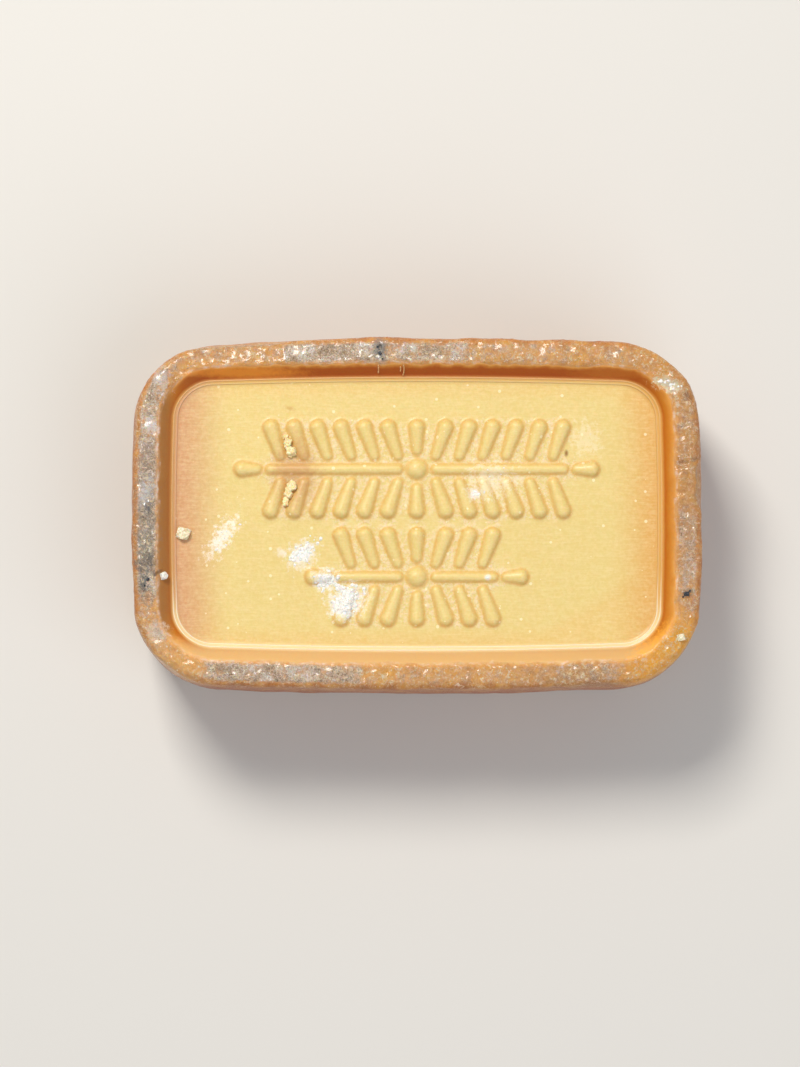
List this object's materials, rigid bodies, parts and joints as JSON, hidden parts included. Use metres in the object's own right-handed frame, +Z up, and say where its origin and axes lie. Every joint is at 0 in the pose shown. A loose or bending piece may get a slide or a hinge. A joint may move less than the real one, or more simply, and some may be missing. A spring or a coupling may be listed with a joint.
{
  "type": "bar of household soap",
  "caption": "Worn rectangular bar of household soap: rounded corners, raised rim, sunk panels and a moulded leaf relief, with loose crumbs and dried scum on top.",
  "frame": {"origin": "middle of the lower rim's resting plane, at the bottom centre of the bar's box", "axes": "+X along the bar's length, +Y across its width towards the upper leaf sprig, +Z up through the relief face"},
  "size_m": [0.092, 0.0574, 0.0273],
  "materials": {
    "aged_soap": "waxy, worn",
    "pale_crumb": "dry, crumbly",
    "dried_scum": "chalky",
    "grit": "hard, slightly glossy",
    "lint": "fine fibre"
  },
  "bodies": {
    "root": {"soap_bar": "aged_soap", "square_crumb": "pale_crumb", "slope_crumb": "dried_scum", "corner_crumb": "pale_crumb", "gap_crumbs": "pale_crumb", "scum_flakes": "dried_scum", "rim_grit": "grit", "lint_fibres": "lint"}
  },
  "joints": []
}
